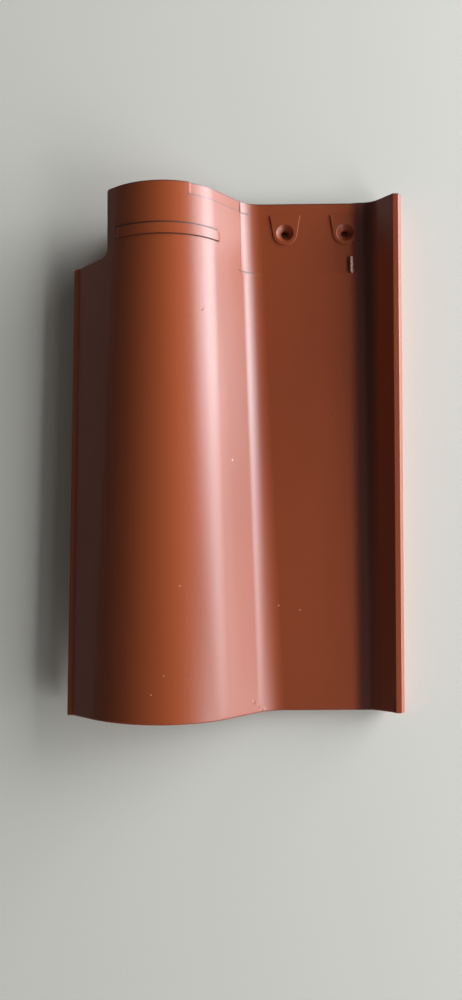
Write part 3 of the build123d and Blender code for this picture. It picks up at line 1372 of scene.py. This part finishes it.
@dataclass(frozen=True)
class GlazedClay(Finish):
    """Glossy red-brown glaze, uneven in tone, with pinholes, chips and runs, painted shade along crease
    lines and the head edge, painted light over the barrel's crown and painted shadow at the foot of the lip.
    """

    name: str = "glazed_clay"
    deep: Colour = (0.242, 0.0440, 0.0118, 1.0)
    light: Colour = (0.270, 0.0505, 0.0138, 1.0)
    # Colour of the real pits and pinholes, and of the painted shade along crease lines.
    pit: Colour = (0.05, 0.016, 0.010, 1.0)
    chip: Colour = (0.78, 0.42, 0.27, 1.0)
    roughness: Pair = (0.30, 0.36)
    refraction: float = 1.58
    pit_roughness: float = 0.6
    peel_scale: float = 260.0
    peel_detail: float = 1.0
    peel_height: float = 0.00003
    pit_depth: float = 0.0003
    run_height: float = 0.0003
    # Painted shade: dark lines along the weather rib's two edges, the head band's edge, the headlap step and
    # the head edge.
    creases: tuple[CreaseShade, ...] = (
        CreaseShade(0.1691, -0.088, -0.0115),
        CreaseShade(0.1602, -0.088, -0.0115, 0.0006),
        CreaseShade(0.1910, -0.033, 0.012),
        CreaseShade(0.1440, 0.004, 0.016),
        CreaseShade(0.2000, -0.096, 0.131, 0.0014),
    )
    bands: tuple[LightAndShadeBand, ...] = (
        # Painted light: a lighter, redder colour over the barrel's crown.
        LightAndShadeBand(-0.056, 0.010, 0.044, (0.338, 0.066, 0.0168, 1.0)),
        # Painted shadow of the lip on its inner foot and on the pan's edge beside it.
        LightAndShadeBand(0.1022, 0.0030, 0.0122, (0.075, 0.013, 0.0055, 1.0)),
    )
    pits: Scatter = Scatter(55.0, 0.03, 0.25)
    pinholes: tuple[Spot, ...] = (Spot((-0.0229, 0.1059, 0.05)),)
    chips: tuple[Spot, ...] = (
        Spot((-0.0015, -0.005, 0.0321), 0.0013),
        Spot((0.0337, -0.118, 0.0117)),
        Spot((0.0504, -0.1216, 0.0117)),
        Spot((-0.0522, -0.1638, 0.0573)),
        Spot((-0.0616, -0.1775, 0.0571)),
        Spot((-0.0402, -0.0986, 0.0562)),
    )
    runs: tuple[Spot, ...] = (
        Spot((0.0137, -0.1908, 0.0221), 0.0022),
        Spot((0.0176, -0.1946, 0.0189), 0.0018),
        Spot((0.0215, -0.1983, 0.0163), 0.0025),
    )

    def tone(self, sheet: ShaderSheet, place: Socket, cloud: Socket) -> Socket:
        """Mixes the colour of the sound glaze, with painted light over the barrel's crown and painted shadow
        at the foot of the lip.

        Args:
            sheet: Sheet of the glaze's nodes.
            place: Place on the tile.
            cloud: Clouds of the cover.

        Returns:
            The colour.
        """
        tone = sheet.blend_colour(sheet.spread(cloud, *self.clouds), self.deep, self.light)
        x = sheet.parts(place)[0]
        # Painted light and painted shadow, laid in stretches along the tile.
        for band in self.bands:
            away = sheet.math("ABSOLUTE", sheet.math("SUBTRACT", x, band.centre_x))
            tone = sheet.blend_colour(sheet.near(away, band.core, band.reach), tone, band.colour)
        return tone

    def build(self, groups: ShaderGroups) -> bpy.types.Material:
        """Makes the material.

        Args:
            groups: Effects that the finishes share.

        Returns:
            The glaze.
        """
        finish, sheet, shader = self.start()
        shader.inputs["IOR"].default_value = self.refraction
        place = sheet.place()
        cover = sheet.effect(groups.cover, {"Place": place})
        scattered = sheet.strongest(groups.specks, (self.pits,))
        pitted = sheet.math("MAXIMUM", scattered, sheet.strongest(groups.spot, self.pinholes))
        # Real pits and pinholes share one dark colour and a dull finish with the painted shade of the crease
        # lines.
        dark = sheet.math("MAXIMUM", pitted, sheet.strongest(groups.crease, self.creases))
        chipped = sheet.strongest(groups.spot, self.chips)

        marked = sheet.blend_colour(dark, self.tone(sheet, place, cover.outputs["Cloud"]), self.pit)
        sheet.feed(shader.inputs["Base Color"], sheet.blend_colour(chipped, marked, self.chip))
        low, high = self.roughness
        matt = sheet.math("MULTIPLY_ADD", cover.outputs["Grain"], high - low, low)
        dull = sheet.math("MULTIPLY", sheet.math("MAXIMUM", dark, chipped), self.pit_roughness)
        sheet.feed(shader.inputs["Roughness"], sheet.math("MAXIMUM", matt, dull))

        peel = sheet.noise(place, self.peel_scale, self.peel_detail)
        peeled = sheet.math("MULTIPLY", peel, self.peel_height)
        runs = sheet.strongest(groups.spot, self.runs)
        raised = sheet.math("MULTIPLY_ADD", runs, self.run_height, peeled)
        self.roughen(sheet, shader, sheet.math("MULTIPLY_ADD", pitted, -self.pit_depth, raised))
        return finish


@dataclass(frozen=True)
class BareClay(Finish):
    """Matt fired clay of the unglazed underside, with sand specks and a dry grain."""

    name: str = "bare_clay"
    body: Colour = (0.46, 0.19, 0.095, 1.0)
    dark: Colour = (0.34, 0.125, 0.06, 1.0)
    sand: Colour = (0.62, 0.36, 0.22, 1.0)
    roughness: float = 0.85
    cloud_scale: float = 20.0
    grains: Scatter = Scatter(400.0, 0.25, 0.2)
    grain_height: float = 0.00012

    def build(self, groups: ShaderGroups) -> bpy.types.Material:
        """Makes the material.

        Args:
            groups: Effects that the finishes share.

        Returns:
            The bare clay.
        """
        finish, sheet, shader = self.start()
        cover = sheet.effect(groups.cover, {"Place": sheet.place(), "Cloud Scale": self.cloud_scale})
        grains = sheet.strongest(groups.specks, (self.grains,))
        cloud = sheet.spread(cover.outputs["Cloud"], *self.clouds)
        tone = sheet.blend_colour(cloud, self.dark, self.body)
        sheet.feed(shader.inputs["Base Color"], sheet.blend_colour(grains, tone, self.sand))
        shader.inputs["Roughness"].default_value = self.roughness
        self.roughen(sheet, shader, sheet.math("MULTIPLY", cover.outputs["Grain"], self.grain_height))
        return finish


@dataclass
class PhotoCamera:
    """Camera over the tile, as the photograph was taken."""

    place: Triple = (0.00542, -0.04968, 0.64097)
    pitch: float = -0.02323
    roll: float = -0.01357
    yaw: float = 0.00639
    lens: float = 28.8
    sensor: float = 36.0
    clip_start: float = 0.01

    def build(self) -> bpy.types.Object:
        """Makes the camera and hands it to the scene.

        Returns:
            The camera.
        """
        data = bpy.data.cameras.new("photo_camera")
        data.lens = self.lens
        data.sensor_width = self.sensor
        data.clip_start = self.clip_start
        camera = bpy.data.objects.new("photo_camera", data)
        bpy.context.scene.collection.objects.link(camera)
        turn = (
            Matrix.Rotation(self.yaw, 3, "Z")
            @ Matrix.Rotation(self.pitch, 3, "X")
            @ Matrix.Rotation(self.roll, 3, "Y")
        )
        camera.matrix_world = Matrix.Translation(self.place) @ turn.transposed().to_4x4()
        bpy.context.scene.camera = camera
        return camera


@dataclass(frozen=True)
class Dressing:
    """Lays the finishes on the tile: glaze above and on the edges, bare clay on the underside."""

    underside_turn: float = -0.35
    heel_margin: float = 0.0015
    heel_top: float = 0.044

    def lay(self, tile: bpy.types.Object, design: RoofTile, groups: ShaderGroups) -> int:
        """Gives every face its finish.

        Args:
            tile: Finished mesh of the tile, in metres.
            design: Design that the mesh was made from.
            groups: Effects that the finishes share.

        Returns:
            How many faces are bare clay.
        """
        tile.data.materials.clear()
        tile.data.materials.append(GlazedClay().build(groups))
        tile.data.materials.append(BareClay().build(groups))
        bare = 0
        for face in tile.data.polygons:
            under = face.normal.z < self.underside_turn or self.on_heel(face.center, design)
            face.material_index = int(under)
            bare += int(under)
        return bare

    def on_heel(self, point: Vector, design: RoofTile) -> bool:
        """Tells the heel's faces from the others.

        Args:
            point: Centre of a face, in metres.
            design: Design that the mesh was made from.

        Returns:
            Whether the point lies on the heel under the barrel.
        """
        heel = design.heel()
        sizes = design.sizes
        crown_x = Section(sizes, sizes.head_y).crown[0]
        low_x = (crown_x - heel.left_reach) * MILLIMETRE - self.heel_margin
        high_x = (crown_x + heel.right_reach) * MILLIMETRE + self.heel_margin
        high_y = (sizes.head_y - heel.from_head) * MILLIMETRE + self.heel_margin
        low_y = high_y - heel.thickness * MILLIMETRE - 2 * self.heel_margin
        return low_x < point.x < high_x and low_y < point.y < high_y and point.z < self.heel_top


@dataclass(frozen=True)
class StudioFloor:
    """Plain pale floor under the tile."""

    size: float = 4.3
    drop: float = 0.0002
    colour: Colour = (0.716, 0.674, 0.585, 1.0)
    roughness: float = 0.8

    def build(self) -> bpy.types.Object:
        """Makes the floor, just under the tile.

        Returns:
            The floor, which belongs to the stage and not to the tile.
        """
        bpy.ops.object.select_all(action="DESELECT")
        bpy.ops.mesh.primitive_plane_add(size=self.size, location=(0.0, 0.0, -self.drop))
        floor = bpy.context.object
        floor.name = "studio_floor"
        finish, _, shader = Finish("pale_floor").start()
        shader.inputs["Base Color"].default_value = self.colour
        shader.inputs["Roughness"].default_value = self.roughness
        floor.data.materials.append(finish)
        return floor


@dataclass(frozen=True)
class LightPanel:
    """Even rectangular light, given by how bright it looks."""

    name: str
    size: Pair
    place: Triple
    turn: Triple
    radiance: float
    colour: Triple = (0.93, 1.0, 1.09)

    def build(self) -> bpy.types.Object:
        """Makes the light.

        Returns:
            The light, which the camera itself does not see.
        """
        data = bpy.data.lights.new(self.name, "AREA")
        data.shape = "RECTANGLE"
        data.size, data.size_y = self.size
        data.energy = math.pi * self.size[0] * self.size[1] * self.radiance
        data.color = self.colour
        light = bpy.data.objects.new(self.name, data)
        bpy.context.scene.collection.objects.link(light)
        light.location = self.place
        light.rotation_euler = [math.radians(degrees) for degrees in self.turn]
        light.visible_camera = False
        return light


@dataclass(frozen=True)
class SoftWindow:
    """Large soft window on the tile's right, in panes that fade towards the foot and upwards."""

    distance: float = 2.2
    turn: Triple = (90.0, 0.0, 90.0)
    elevations: tuple[float, ...] = (0.0, 5.0, 10.0, 16.0, 24.0, 32.0, 42.0, 58.0)
    places: tuple[float, ...] = (-2.9, -0.8, -0.25, 0.34, 0.93, 2.8)
    radiance: tuple[tuple[float, ...], ...] = (
        (0.9, 0.0, 0.0, 6.5, 9.8),
        (0.8, 1.4, 4.4, 15.4, 14.0),
        (2.7, 6.4, 8.6, 18.0, 13.6),
        (3.4, 11.4, 11.4, 17.6, 11.6),
        (2.4, 3.6, 4.0, 9.4, 4.6),
        (8.3, 0.0, 3.1, 7.2, 6.8),
        (2.2, 0.0, 0.0, 0.0, 0.0),
    )

    def build(self) -> int:
        """Makes the panes that shine.

        Returns:
            How many panes there are.
        """
        count = 0
        for row, (low, high) in zip(self.radiance, zip(self.elevations, self.elevations[1:])):
            low_z = self.distance * math.tan(math.radians(low))
            high_z = self.distance * math.tan(math.radians(high))
            for radiance, near, far in zip(row, self.places, self.places[1:]):
                if radiance > 0.0:
                    centre = (self.distance, (near + far) / 2, (low_z + high_z) / 2)
                    size = (far - near, high_z - low_z)
                    LightPanel(f"pane_{count}", size, centre, self.turn, radiance).build()
                    count += 1
        return count


@dataclass(frozen=True)
class ReflectorCard:
    """Bright card that lies on the floor beyond the lip and lights the barrel's flank from below."""

    reach: tuple[Pair, ...] = ((0.19, 0.30), (0.30, 0.55))
    radiance: tuple[float, ...] = (0.4, 9.9)
    length: float = 1.6
    centre_y: float = 0.1
    lift: float = 0.0005
    turn: Triple = (180.0, 0.0, 0.0)

    def build(self) -> int:
        """Makes the card's strips.

        Returns:
            How many strips there are.
        """
        for number, ((near, far), radiance) in enumerate(zip(self.reach, self.radiance)):
            centre = ((near + far) / 2, self.centre_y, self.lift)
            LightPanel(f"card_{number}", (far - near, self.length), centre, self.turn, radiance).build()
        return len(self.reach)


@dataclass(frozen=True)
class RoomFill:
    """Weak even light from the room, with a pale background where the camera looks past the floor."""

    colour: Colour = (1.0, 1.0, 1.0, 1.0)
    fill: float = 0.083
    background: float = 0.6

    def build(self) -> None:
        """Sets the world."""
        world = bpy.data.worlds.new("room")
        world.use_nodes = True
        sheet = ShaderSheet(world.node_tree)
        room = world.node_tree.nodes["Background"]
        seen = sheet.node("ShaderNodeLightPath").outputs["Is Camera Ray"]
        room.inputs["Color"].default_value = self.colour
        strength = sheet.math("MULTIPLY_ADD", seen, self.background - self.fill, self.fill)
        sheet.feed(room.inputs["Strength"], strength)
        bpy.context.scene.world = world


@dataclass
class Studio:
    """Floor, lights and camera round the tile."""

    floor: StudioFloor = field(default_factory=StudioFloor)
    window: SoftWindow = field(default_factory=SoftWindow)
    card: ReflectorCard = field(default_factory=ReflectorCard)
    room: RoomFill = field(default_factory=RoomFill)
    camera: PhotoCamera = field(default_factory=PhotoCamera)

    def build(self) -> None:
        """Clears the lights and cameras that were there and sets up the studio."""
        for item in list(bpy.context.scene.objects):
            if item.type in {"LIGHT", "CAMERA"}:
                bpy.data.objects.remove(item)
        self.floor.build()
        log.info("floor laid")
        log.info("window: %d panes", self.window.build())
        log.info("card: %d strips", self.card.build())
        self.room.build()
        self.camera.build()
        bpy.context.scene.view_settings.view_transform = "Standard"


def main() -> None:
    """Builds the tile, its finishes and the studio, and reports each of them."""
    logging.basicConfig(level=logging.INFO, format="%(name)s: %(message)s", stream=sys.stdout)
    design = RoofTile()
    tile = design.build()
    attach(tile, "root")
    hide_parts("roof_tile")
    log.info("tile: %d faces", len(tile.data.polygons))
    groups = ShaderGroups(build_cloud_group(), build_speck_group(), build_crease_shade_group(), build_spot_group())
    log.info("bare clay: %d faces", Dressing().lay(tile, design, groups))
    Studio().build()


if __name__ == "__main__":
    main()
